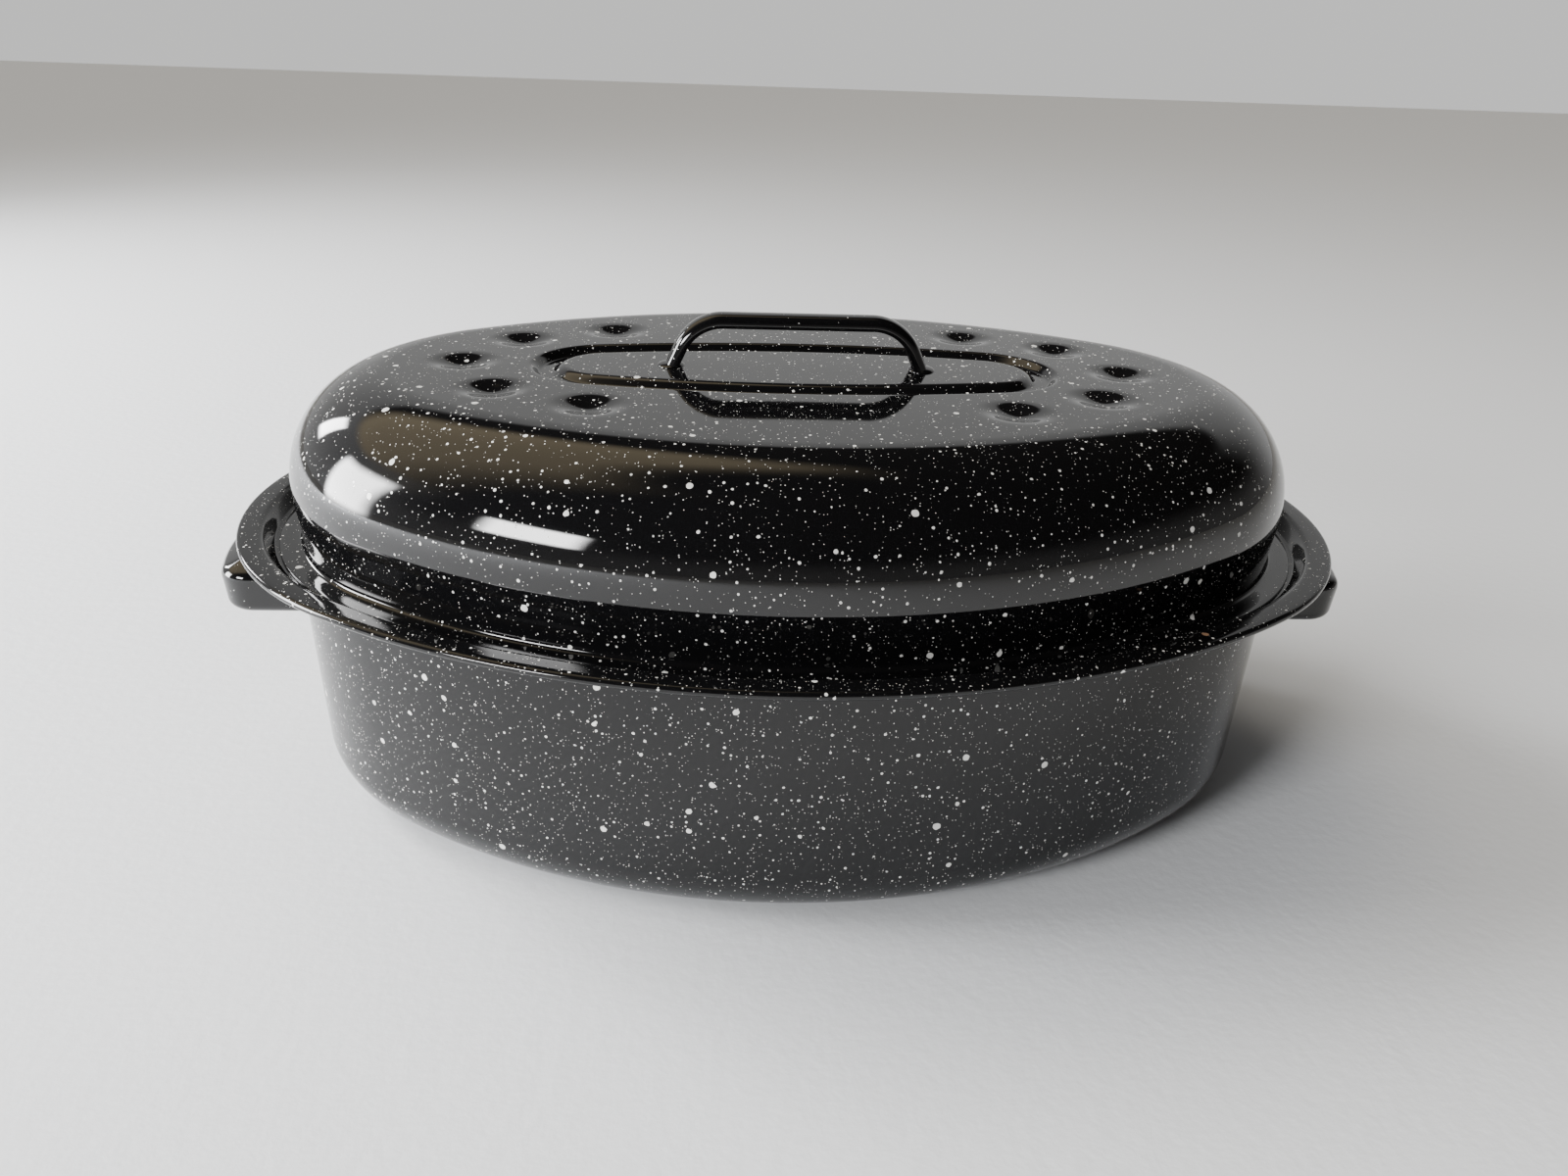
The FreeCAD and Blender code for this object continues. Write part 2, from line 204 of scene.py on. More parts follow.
def add_straight(points: list[Vector], end: Vector, spacing: float) -> None:
    """Adds evenly spaced points from the last point up to an end point.

    Args:
        points: the line so far, which is added to.
        end: where the straight ends.
        spacing: the largest step.
    """
    start = points[-1]
    if (end - start).length < MERGE_DISTANCE:
        return
    steps = max(1, math.ceil((end - start).length / spacing))
    points.extend(start.lerp(end, step / steps) for step in range(1, steps + 1))


# --- Bench: modelling steps shared by the pieces ---------------------------------------------------
def clear_selection() -> None:
    """Leaves nothing selected, so that an operator acts only on the piece in hand."""
    bpy.ops.object.select_all(action="DESELECT")


def take_up(piece: Piece) -> None:
    """Makes a piece active and the only one selected.

    Args:
        piece: the piece in hand.
    """
    clear_selection()
    bpy.context.view_layer.objects.active = piece
    piece.select_set(True)


def edit(piece: Piece) -> None:
    """Starts editing a piece, with its whole mesh selected.

    Args:
        piece: the piece in hand.
    """
    take_up(piece)
    bpy.ops.object.mode_set(mode="EDIT")
    bpy.ops.mesh.select_all(action="SELECT")


def stop_editing() -> None:
    """Goes back to object mode."""
    bpy.ops.object.mode_set(mode="OBJECT")


def close_up(distance: float) -> None:
    """Merges the doubles of the mesh being edited and stops editing.

    Args:
        distance: how near two vertices are to be one.
    """
    bpy.ops.mesh.select_all(action="SELECT")
    bpy.ops.mesh.remove_doubles(threshold=distance)
    stop_editing()


def pick(piece: Piece, wanted: Callable[[Vector], bool]) -> None:
    """Selects, in edit mode, the vertices whose places are wanted, and nothing else.

    Args:
        piece: the piece being edited.
        wanted: says whether a place is wanted.
    """
    bpy.ops.mesh.select_mode(type="VERT")
    bpy.ops.mesh.select_all(action="DESELECT")
    bpy.ops.object.mode_set(mode="OBJECT")
    for vertex in piece.data.vertices:
        if wanted(vertex.co):
            vertex.select = True
    bpy.ops.object.mode_set(mode="EDIT")
    bpy.ops.mesh.select_mode(type="VERT")


def draw_line(name: str, places: Sequence[Vector]) -> Piece:
    """Starts a piece as one vertex and extrudes it through places, leaving the line selected.

    Args:
        name: the piece's name.
        places: where the line starts, and each place that it goes through.

    Returns:
        The new object, in edit mode, with its origin at the frame's origin.
    """
    clear_selection()
    bpy.ops.mesh.primitive_plane_add(size=MM, location=(0, 0, 0))
    piece = bpy.context.active_object
    piece.name = name
    piece.data.name = name
    bpy.ops.object.mode_set(mode="EDIT")
    bpy.ops.mesh.merge(type="CENTER")
    bpy.ops.transform.translate(value=places[0])
    for here, there in zip(places, places[1:]):
        bpy.ops.mesh.extrude_region_move(TRANSFORM_OT_translate={"value": there - here})
    bpy.ops.mesh.select_linked()
    return piece


def extrude_along(stride: Sequence[float], count: int) -> None:
    """Extrudes the selected section in even strides.

    Args:
        stride: how far each one goes.
        count: how many there are.
    """
    for _ in range(count):
        bpy.ops.mesh.extrude_region_move(TRANSFORM_OT_translate={"value": stride})


def spin_about(centre: Vector, degrees: float, steps: int, axis: Sequence[float] = UP) -> None:
    """Spins the selected section anticlockwise about a centre, leaving its far end selected.

    Args:
        centre: a point on the axis.
        degrees: how far to spin.
        steps: how many faces that makes round the spin.
        axis: the axis's direction.
    """
    bpy.ops.mesh.spin(steps=steps, angle=-math.radians(degrees), center=centre, axis=axis)


def spun_oval(name: str, oval: Oval, line: Sequence[Vector]) -> Piece:
    """Draws a section on the radial plane where a right end begins and spins it round an oval.

    Args:
        name: the new piece's name.
        oval: the outline.
        line: the section, as inset from the outline and height.

    Returns:
        The piece, closed on itself, in object mode.
    """
    arcs = oval.arcs()
    first = arcs[0]
    places = []
    for inset, height in line:
        places.append(first.centre + polar(first.radius - inset, first.start) + Vector((0, 0, height)))
    piece = draw_line(name, places)
    for arc, steps in zip(arcs, (END_STEPS, SIDE_STEPS) * 2):
        spin_about(arc.centre, arc.turn, steps)
    close_up(SEAM_DISTANCE)
    return piece


def close_with_rings(rings: int = 3, shrink: float = 0.72) -> None:
    """Fills the selected loop with shrinking rings and a last flat face.

    Args:
        rings: how many rings.
        shrink: how much smaller each is than the one outside it.
    """
    for _ in range(rings):
        bpy.ops.mesh.extrude_region_move(TRANSFORM_OT_translate={"value": (0, 0, 0)})
        bpy.ops.transform.resize(value=(shrink, shrink, 1), center_override=(0, 0, 0))
    bpy.ops.mesh.edge_face_add()


def cut_off(piece: Piece, place: Vector, normal: Sequence[float]) -> None:
    """Cuts a piece with a plane, closes the cut and keeps what the normal points to.

    Args:
        piece: the piece.
        place: a point of the plane.
        normal: the plane's normal.
    """
    edit(piece)
    bpy.ops.mesh.bisect(plane_co=place, plane_no=normal, use_fill=True, clear_inner=True)
    stop_editing()


def face_up(piece: Piece, outward: Callable[[bpy.types.MeshPolygon], bool]) -> None:
    """Makes a single sheet's faces agree and turns them to the wanted side.

    Args:
        piece: the sheet, before it has thickness.
        outward: says whether a face already points to the wanted side.
    """
    edit(piece)
    bpy.ops.mesh.normals_make_consistent(inside=False)
    stop_editing()
    votes = sum(1 if outward(face) else -1 for face in piece.data.polygons)
    if votes < 0:
        edit(piece)
        bpy.ops.mesh.flip_normals()
        stop_editing()


def finish_with(piece: Piece, kind: str, **settings: object) -> None:
    """Adds a modifier and applies it.

    Args:
        piece: the piece that gets it.
        kind: the modifier's type.
        settings: its settings by name.
    """
    take_up(piece)
    modifier = piece.modifiers.new(kind.title(), kind)
    for name, value in settings.items():
        setattr(modifier, name, value)
    bpy.ops.object.modifier_apply(modifier=modifier.name)


def give_thickness(piece: Piece, thickness: float = SHEET, edge: float = SHEET_EDGE) -> None:
    """Gives a middle sheet its thickness and rounds the cut edges.

    Args:
        piece: the sheet.
        thickness: its thickness, half to each side.
        edge: the radius on the cut edges.
    """
    finish_with(piece, "SOLIDIFY", thickness=thickness, offset=0, use_even_offset=True)
    finish_with(
        piece, "BEVEL", width=edge, segments=EDGE_SEGMENTS, limit_method="ANGLE", angle_limit=EDGE_ANGLE
    )


def mirror(piece: Piece, axes: tuple[bool, bool, bool]) -> None:
    """Adds a piece's other half, welded to it along the middle."""
    finish_with(piece, "MIRROR", use_axis=axes, merge_threshold=SEAM_DISTANCE)


def smooth(piece: Piece) -> None:
    """Shades a piece smooth, apart from its sharp edges."""
    take_up(piece)
    bpy.ops.object.shade_smooth_by_angle(angle=SMOOTH_ANGLE)


def join_to(main: Piece, other: Piece) -> None:
    """Joins another mesh into the main one.

    Args:
        main: the piece that stays.
        other: the piece that becomes part of it.
    """
    take_up(main)
    other.select_set(True)
    bpy.ops.object.join()


# --- Finishes --------------------------------------------------------------------------------------
def linear(code: str) -> tuple[float, float, float, float]:
    """Turns an sRGB hex colour, such as "#1a1a1c", into linear red, green, blue and alpha."""
    parts = [int(code[i : i + 2], 16) / 255 for i in (1, 3, 5)]
    return (*(c / 12.92 if c <= 0.04045 else ((c + 0.055) / 1.055) ** 2.4 for c in parts), 1.0)


def add_node(
    tree: Tree, kind: str, settings: dict | None = None, inputs: dict | None = None
) -> bpy.types.Node:
    """Adds a node with its settings, values and links.

    Args:
        tree: the node tree.
        kind: the node's type.
        settings: its properties by name.
        inputs: its inputs by name or number. A value is a number or colour, or a socket to link from.

    Returns:
        The node.
    """
    node = tree.nodes.new(kind)
    for name, value in (settings or {}).items():
        setattr(node, name, value)
    for name, value in (inputs or {}).items():
        if isinstance(value, Socket):
            tree.links.new(value, node.inputs[name])
        else:
            node.inputs[name].default_value = value
    return node


def blank_material(name: str) -> tuple[bpy.types.Material, Tree, Socket]:
    """Makes a material with an empty tree and the object's own coordinates.

    Args:
        name: the finish's name.

    Returns:
        The material, its node tree and the coordinates' socket.
    """
    material = bpy.data.materials.new(name)
    material.use_nodes = True
    material.node_tree.nodes.clear()
    place = add_node(material.node_tree, "ShaderNodeTexCoord").outputs["Object"]
    return material, material.node_tree, place


def close_material(tree: Tree, inputs: dict) -> None:
    """Adds the surface shader and links it to the material's output."""
    shader = add_node(tree, "ShaderNodeBsdfPrincipled", inputs=inputs)
    add_node(tree, "ShaderNodeOutputMaterial", inputs={"Surface": shader.outputs[0]})


def combine(tree: Tree, operation: str, masks: Sequence[Socket]) -> Socket:
    """Combines masks into one, the first with the second, that with the third, and so on.

    Args:
        tree: the node tree.
        operation: MULTIPLY for what all of them cover, or MAXIMUM for what any of them covers.
        masks: the masks.

    Returns:
        The combined mask's socket.
    """
    whole = masks[0]
    for mask in masks[1:]:
        whole = add_node(tree, "ShaderNodeMath", {"operation": operation}, {0: whole, 1: mask}).outputs[0]
    return whole


def blend(tree: Tree, mask: Socket, outside: object, inside: object) -> Socket:
    """Lays one colour over another where a mask is.

    Args:
        tree: the node tree.
        mask: the mask.
        outside: the colour where it is 0, or that colour's socket.
        inside: the colour where it is 1, or that colour's socket.

    Returns:
        The blended colour's socket.
    """
    inputs = {0: mask, 6: outside, 7: inside}
    return add_node(tree, "ShaderNodeMix", {"data_type": "RGBA"}, inputs).outputs[2]


def soft_step(tree: Tree, value: Socket, zero: float, one: float) -> Socket:
    """Makes a mask that rises smoothly with a value.

    Args:
        tree: the node tree.
        value: the socket that drives it.
        zero: where the mask is 0.
        one: where it reaches 1.

    Returns:
        The mask's socket.
    """
    return add_node(
        tree,
        "ShaderNodeMapRange",
        {"interpolation_type": "SMOOTHSTEP"},
        {"Value": value, "From Min": zero, "From Max": one},
    ).outputs[0]


@dataclass(frozen=True)
class Flecks:
    """One size of fleck: how far apart they lie, their radii and how ragged they are, in mm."""

    spacing: float
    smallest: float
    largest: float
    share: float  # of the places that hold a fleck
    ragged: float = 0.35  # how far an edge wanders
    ragged_spacing: float = 1.2
    body: float = 0.75  # how white the thinnest flecks are


@dataclass(frozen=True)
class SpeckledEnamel:
    """Porcelain enamel: black glass fused on steel over a ground coat, with white frit flicked on.

    The glass gives it a deep, sharp gloss with very little spread. It was dipped and fired, so the
    surface flows in a faint orange peel. Each fleck of white melts in as an irregular spot, thinner and
    greyer at its edge, that stands a little proud and is not quite as glossy.
    """

    name: str
    flecks: tuple[Flecks, ...]
    chip: Vector | None = None  # where the rim was knocked and the steel has rusted
    chip_edge: Point = (1.4, 1.1)  # mm from its middle: where the rust has faded out, and where it is whole
    ground: str = "#0b0b0c"
    white: str = "#efeeea"
    rust: str = "#8a6a50"
    roughness: float = 0.045
    fleck_roughness: float = 0.15  # added on the flecks
    glass_ior: float = 1.54
    peel_spacing: float = 9.0  # mm between the waves of the orange peel
    peel_height: float = 0.012  # mm
    fleck_height: float = 0.035  # mm
    soft_edge: float = 0.05  # mm over which a fleck fades out

    def wandering(self, tree: Tree, place: Socket, flecks: Flecks) -> Socket:
        """Disturbs the coordinates a little, so that the flecks aren't round.

        Args:
            tree: the material's tree.
            place: the object's coordinates.
            flecks: the flecks that they are for.

        Returns:
            The disturbed coordinates.
        """
        noise = add_node(
            tree,
            "ShaderNodeTexNoise",
            inputs={"Vector": place, "Scale": 1 / (flecks.ragged_spacing * MM), "Detail": 1.0},
        )
        centred = add_node(
            tree,
            "ShaderNodeVectorMath",
            {"operation": "SUBTRACT"},
            {0: noise.outputs["Color"], 1: (0.5, 0.5, 0.5)},
        )
        shift = add_node(
            tree,
            "ShaderNodeVectorMath",
            {"operation": "SCALE"},
            {0: centred.outputs[0], "Scale": flecks.ragged * MM},
        )
        return add_node(
            tree, "ShaderNodeVectorMath", {"operation": "ADD"}, {0: place, 1: shift.outputs[0]}
        ).outputs[0]

    def fleck_mask(self, tree: Tree, place: Socket, flecks: Flecks) -> Socket:
        """Makes the mask of one size of fleck.

        Args:
            tree: the material's tree.
            place: the object's coordinates.
            flecks: the size.

        Returns:
            A socket that is up to 1 on a fleck and 0 off it.
        """
        place = self.wandering(tree, place, flecks)
        cells = add_node(
            tree,
            "ShaderNodeTexVoronoi",
            {"voronoi_dimensions": "3D", "feature": "F1"},
            {"Vector": place, "Scale": 1 / (flecks.spacing * MM), "Randomness": 1.0},
        )
        draws = add_node(tree, "ShaderNodeSeparateColor", inputs={"Color": cells.outputs["Color"]})
        radius = add_node(
            tree,
            "ShaderNodeMapRange",
            inputs={
                "Value": draws.outputs["Red"],
                "From Min": 1 - flecks.share,
                "From Max": 1.0,
                "To Min": flecks.smallest / flecks.spacing,
                "To Max": flecks.largest / flecks.spacing,
            },
        )
        there = add_node(
            tree,
            "ShaderNodeMath",
            {"operation": "GREATER_THAN"},
            {0: draws.outputs["Red"], 1: 1 - flecks.share},
        )
        depth = add_node(
            tree,
            "ShaderNodeMath",
            {"operation": "SUBTRACT"},
            {0: radius.outputs[0], 1: cells.outputs["Distance"]},
        )
        soft = self.soft_edge / flecks.spacing
        spot = soft_step(tree, depth.outputs[0], -soft / 2, soft)
        cover = add_node(
            tree,
            "ShaderNodeMapRange",
            inputs={"Value": draws.outputs["Green"], "To Min": flecks.body, "To Max": 1.0},
        )
        return combine(tree, "MULTIPLY", (spot, there.outputs[0], cover.outputs[0]))

    def chip_mask(self, tree: Tree, place: Socket) -> Socket:
        """Makes the mask of the bare chip.

        Args:
            tree: the material's tree.
            place: the coordinates, disturbed so that the chip's edge is ragged.

        Returns:
            A socket that is 1 in the chip and 0 elsewhere.
        """
        away = add_node(
            tree,
            "ShaderNodeVectorMath",
            {"operation": "DISTANCE"},
            {0: place, 1: self.chip},
        )
        outer, inner = self.chip_edge
        return soft_step(tree, away.outputs["Value"], outer * MM, inner * MM)

    def make(self) -> bpy.types.Material:
        """Builds the material.

        Returns:
            The material.
        """
        material, tree, place = blank_material(self.name)
        masks = [self.fleck_mask(tree, place, flecks) for flecks in self.flecks]
        white = combine(tree, "MAXIMUM", masks)
        colour = blend(tree, white, linear(self.ground), linear(self.white))
        roughest = self.roughness + self.fleck_roughness
        gloss = add_node(
            tree,
            "ShaderNodeMapRange",
            inputs={"Value": white, "To Min": self.roughness, "To Max": roughest},
        ).outputs[0]
        if self.chip:
            bare = self.chip_mask(tree, self.wandering(tree, place, self.flecks[-1]))
            colour = blend(tree, bare, colour, linear(self.rust))
            gloss = combine(tree, "MAXIMUM", (gloss, bare))
        inputs = {"Base Color": colour, "Roughness": gloss, "IOR": self.glass_ior}
        close_material(tree, inputs | {"Normal": self.relief(tree, place, white)})
        return material

    def relief(self, tree: Tree, place: Socket, white: Socket) -> Socket:
        """Makes the surface's relief: the orange peel, with the flecks standing on it.

        Args:
            tree: the material's tree.
            place: the object's coordinates.
            white: the flecks' mask.

        Returns:
            The normal's socket.
        """
        peel = add_node(
            tree,
            "ShaderNodeTexNoise",
            inputs={"Vector": place, "Scale": 1 / (self.peel_spacing * MM), "Detail": 2.0},
        )
        waves = add_node(
            tree,
            "ShaderNodeBump",
            inputs={"Height": peel.outputs[0], "Distance": self.peel_height * MM, "Strength": 1.0},
        )
        return add_node(
            tree,
            "ShaderNodeBump",
            inputs={
                "Height": white,
                "Distance": self.fleck_height * MM,
                "Strength": 1.0,
                "Normal": waves.outputs[0],
            },
        ).outputs[0]


@dataclass(frozen=True)
class NickelWire:
    """Nickel-plated steel wire: drawn, welded and plated, so a clean warm mirror with faint draw lines."""

    name: str = "nickel_plated_wire"
    colour: str = "#cfc9bd"
    roughness: float = 0.16
    smoother: float = 0.06  # taken off between the draw lines
    rougher: float = 0.1  # added on them
    streak_spacing: float = 0.8  # mm, coarser than real draw lines so that they show
    streak_range: Point = (0.3, 0.7)  # the part of the noise that makes the lines

    def make(self) -> bpy.types.Material:
        """Builds the material.

        Returns:
            The material.
        """
        material, tree, place = blank_material(self.name)
        streaks = add_node(
            tree,
            "ShaderNodeTexNoise",
            inputs={"Vector": place, "Scale": 1 / (self.streak_spacing * MM), "Detail": 3.0},
        )
        low, high = self.streak_range
        gloss = add_node(
            tree,
            "ShaderNodeMapRange",
            inputs={
                "Value": streaks.outputs[0],
                "From Min": low,
                "From Max": high,
                "To Min": self.roughness - self.smoother,
                "To Max": self.roughness + self.rougher,
            },
        ).outputs[0]
        close_material(tree, {"Base Color": linear(self.colour), "Metallic": 1.0, "Roughness": gloss})
        return material


@dataclass(frozen=True)
class FeltedCloth:
    """The plain cloth of the floor: matt, pale and slightly cool, with a short nap that breaks up light."""

    name: str = "matt_cloth"
    colour: str = "#e8eaed"
    roughness: float = 0.95
    shine: float = 0.1
    nap_spacing: float = 6  # mm
    nap_height: float = 0.4  # mm
    nap_strength: float = 0.6

    def make(self) -> bpy.types.Material:
        """Builds the material.

        Returns:
            The material.
        """
        material, tree, place = blank_material(self.name)
        nap = add_node(
            tree,
            "ShaderNodeTexNoise",
            inputs={"Vector": place, "Scale": 1 / (self.nap_spacing * MM), "Detail": 4.0},
        )
        fuzz = add_node(
            tree,
            "ShaderNodeBump",
            inputs={
                "Height": nap.outputs[0],
                "Distance": self.nap_height * MM,
                "Strength": self.nap_strength,
            },
        )
        inputs = {"Base Color": linear(self.colour), "Roughness": self.roughness}
        close_material(tree, inputs | {"Specular IOR Level": self.shine, "Normal": fuzz.outputs[0]})
        return material


class Finish(Enum):
    """The finishes. The pan is flecked most finely, and the handles least."""

    PAN = SpeckledEnamel(
        "speckled_enamel_pan",
        (
            Flecks(spacing=1.1, smallest=0.09, largest=0.23, share=0.6, ragged=0.2),
            Flecks(spacing=2.6, smallest=0.22, largest=0.58, share=0.45),
            Flecks(spacing=8.0, smallest=0.60, largest=1.60, share=0.30, ragged=0.9, ragged_spacing=1.9),
        ),
        chip=Vector((138.7, -120.3, 116.5)) * MM,
        glass_ior=1.45,
    )
    LID = SpeckledEnamel(
        "speckled_enamel_lid",
        (
            Flecks(spacing=1.25, smallest=0.09, largest=0.23, share=0.6, ragged=0.2),
            Flecks(spacing=2.7, smallest=0.22, largest=0.62, share=0.45),
            Flecks(spacing=8.0, smallest=0.60, largest=1.40, share=0.35, ragged=0.8, ragged_spacing=1.9),
        ),
    )
    HANDLES = SpeckledEnamel(
        "speckled_enamel_handles",
        (
            Flecks(spacing=1.8, smallest=0.09, largest=0.25, share=0.5, ragged=0.2),
            Flecks(spacing=6.0, smallest=0.3, largest=0.7, share=0.4),
        ),
    )
    RACK = NickelWire()
    FLOOR = FeltedCloth()


class Paints:
    """Makes each finish's material once and hands it out."""

    def __init__(self) -> None:
        """Starts with nothing made."""
        self.made: dict[Finish, bpy.types.Material] = {}

    def give(self, piece: Piece, finish: Finish) -> None:
        """Puts a finish on all the material slots of a piece, or on a new one if it has none.

        Args:
            piece: the piece.
            finish: the finish.
        """
        if finish not in self.made:
            self.made[finish] = finish.value.make()
        if not piece.material_slots:
            piece.data.materials.append(self.made[finish])
        for holder in piece.material_slots:
            holder.material = self.made[finish]


# --- Sub-assemblies --------------------------------------------------------------------------------
@dataclass(frozen=True)
class Layout:
    """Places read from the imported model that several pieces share."""

    rim: Oval
    rim_height: float
    ledge: float
    lid_top: float

    @classmethod
    def from_frame(cls) -> "Layout":
        """Reads the pan's and the lid's boxes.

        Returns:
            The layout.
        """
        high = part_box("pan_shell")[1]
        lid_low, lid_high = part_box("lid_shell")
        rim = Oval(high.x - EDGE_CLEARANCE, high.y - EDGE_CLEARANCE, RIM_END_RADIUS)
        return cls(rim, high.z, lid_low.z, lid_high.z)


@dataclass(frozen=True)
class Pan:
    """The drawn pan: rolled rim, flange, ledge for the lid, wall, rounded foot and flat floor."""

    layout: Layout
    flange: float = 9.0 * MM
    bead: float = 3.0 * MM
    bead_bend: float = 0.98  # each bend's radius, as a share of half the height of its middle line
    bead_return: float = 2.2 * MM
    step_foot: float = 13.2 * MM
    step_bend: float = 2.2 * MM
    ledge_bend: float = 2.5 * MM
    foot_radius: float = 24.0 * MM
    floor_inset: float = 60.0 * MM
    spacing: float = 0.7 * MM
    floor_zone: float = 2 * MM  # faces whose middles are lower than this are the floor
    level_enough: float = 0.9  # a floor face points up when the Z of its normal is over this

    def build(self, paints: Paints) -> Piece:
        """Models and dresses the pan.

        Args:
            paints: the finishes.

        Returns:
            The piece.
        """
        pan = spun_oval("pan", self.layout.rim, self.section())
        self.lay_floor(pan)
        give_thickness(pan)
        smooth(pan)
        paints.give(pan, Finish.PAN)
        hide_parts("pan_shell")
        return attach(pan, "pan")

    def section(self) -> list[Vector]:
        """Draws the sheet's middle line, from inside the rim's bead to the floor.

        Returns:
            The section's points.
        """
        half = SHEET / 2
        curl = self.bead / 2 - half
        flange = self.layout.rim_height - half
        ledge = self.layout.ledge - half
        corners = (
            (self.bead_return, flange - 2 * curl),
            (half, flange - 2 * curl),
            (half, flange),
            (self.flange, flange),
            (self.step_foot, ledge),
            (WALL_TOP, ledge),
            (WALL_FOOT, half),
            (self.floor_inset, half),
        )
        bead_bends = (curl * self.bead_bend,) * 2
        radii = (*bead_bends, self.step_bend, self.step_bend, self.ledge_bend, self.foot_radius)
        return bent_line(corners, radii, self.spacing)

    def lay_floor(self, pan: Piece) -> None:
        """Closes the floor with rings that shrink towards its middle, and makes the faces agree.

        Args:
            pan: the open-bottomed sheet.
        """
        top = SHEET / 2 + AT_LEVEL
        edit(pan)
        pick(pan, lambda at: at.z < top and self.layout.rim.is_on(at, self.floor_inset))
        close_with_rings()
        stop_editing()
        face_up(pan, self.faces_in)

    def faces_in(self, face: bpy.types.MeshPolygon) -> bool:
        """Says whether a face of the floor points up. Any face above the floor counts as right.

        Args:
            face: the face.

        Returns:
            Whether it counts as right.
        """
        if face.center.z < self.floor_zone:
            return face.normal.z > self.level_enough
        return face.center.z > self.floor_zone


@dataclass(frozen=True)
class Lid:
    """The drawn lid: flange, inset wall, broad shoulder, and a top with a groove and dimples."""

    layout: Layout
    edge: float = 15.0 * MM
    wall: float = 25.0 * MM
    shoulder: float = 19.4 * MM
    shoulder_radius: float = 41.5 * MM
    flat: float = 66.0 * MM
    flange_bend: float = 2.5 * MM
    groove_oval: Oval = Oval(109.0 * MM, 39.3 * MM, 31.5 * MM)
    groove_across: float = 12.8 * MM
    groove_slope: float = 3.2 * MM
    groove_bends: tuple[float, ...] = (2.5 * MM, 3.0 * MM, 3.0 * MM, 5.0 * MM)
    groove_depth: float = 3.0 * MM
    groove_border: float = 4.0 * MM
    groove_spacing: float = 0.5 * MM
    spacing: float = 0.9 * MM
    band_cuts: int = 26  # rows added between the shoulder and the groove
    dimples: tuple[Point, ...] = ((79.5, 58.0), (118.0, 38.5), (136.5, 0.0))  # mm, in one quarter
    dimple_reach: float = 15.5 * MM
    dimple_depth: float = 2.8 * MM
    dimple_marker: float = 0.01 * MM

    def build(self, paints: Paints) -> Piece:
        """Models and dresses the lid.

        Args:
            paints: the finishes.

        Returns:
            The piece.
        """
        half = SHEET / 2
        flange, top = self.layout.ledge + half, self.layout.lid_top - half
        corners = ((self.edge, flange), (self.wall, flange), (self.shoulder, top), (self.flat, top))
        line = bent_line(corners, (self.flange_bend, self.shoulder_radius), self.spacing)
        lid = spun_oval("lid", self.layout.rim, line)
        groove = spun_oval("groove", self.groove_oval, self.groove_line(top))
        self.close_panel(groove)
        join_to(lid, groove)
        self.bridge_top(lid, top)
        for x, y in self.dimple_places():
            self.press_dimple(lid, Vector((x, y, top)))
        face_up(lid, lambda face: face.normal.z > 0)
        give_thickness(lid)
        smooth(lid)
        paints.give(lid, Finish.LID)
        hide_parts("lid_shell")
        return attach(lid, "lid")

    def groove_line(self, level: float) -> list[Vector]:
        """Draws the section across the groove, from its outer border to the panel.

        Args:
            level: the height of the top's middle line.

        Returns:
            The section's points.
        """
        corners = (
            (-self.groove_border, level),
            (0, level),
            (self.groove_slope, level - self.groove_depth),
            (self.groove_across - self.groove_slope, level - self.groove_depth),
            (self.groove_across, level),
            (self.groove_across + self.groove_border, level),
        )
        return bent_line(corners, self.groove_bends, self.groove_spacing)

    def close_panel(self, groove: Piece) -> None:
        """Fills the middle panel inside the groove's ring.

        Args:
            groove: the ring.
        """
        inner = self.groove_across + self.groove_border
        edit(groove)
        pick(groove, lambda at: self.groove_oval.is_on(at, inner))
        close_with_rings()
        stop_editing()

    def bridge_top(self, lid: Piece, level: float) -> None:
        """Joins the shoulder's inner edge to the groove's outer border with a band of faces.

        Args:
            lid: the mesh that holds both.
            level: the height of the top's middle line.
        """
        edit(lid)
        pick(lid, lambda at: abs(at.z - level) < AT_LEVEL and self.on_band_edge(at))
        bpy.ops.mesh.select_mode(type="EDGE")
        bpy.ops.mesh.bridge_edge_loops(number_cuts=self.band_cuts, interpolation="LINEAR")
        stop_editing()

    def on_band_edge(self, at: Vector) -> bool:
        """Says whether a place is on either edge of the band between the shoulder and the groove."""
        return self.layout.rim.is_on(at, self.flat) or self.groove_oval.is_on(at, -self.groove_border)

    def dimple_places(self) -> list[Point]:
        """Lists the middles of all the dimples, from those of one quarter.

        Returns:
            The places, each once.
        """
        places = set()
        for x, y in self.dimples:
            places |= {(x * a * MM, y * b * MM) for a in (1, -1) for b in (1, -1)}
        return sorted({(x, y + 0.0) for x, y in places})

    def press_dimple(self, lid: Piece, place: Vector) -> None:
        """Presses the sheet down softly round a marker, which is then taken away.

        Args:
            lid: the lid's sheet.
            place: the dimple's middle.
        """
        edit(lid)
        bpy.ops.mesh.select_all(action="DESELECT")
        bpy.ops.mesh.select_mode(type="VERT")
        bpy.ops.mesh.primitive_circle_add(vertices=3, radius=self.dimple_marker, location=place)
        bpy.ops.transform.translate(
            value=(0, 0, -self.dimple_depth),
            use_proportional_edit=True,
            proportional_edit_falloff="SMOOTH",
            proportional_size=self.dimple_reach,
        )
        bpy.ops.mesh.delete(type="VERT")
        stop_editing()


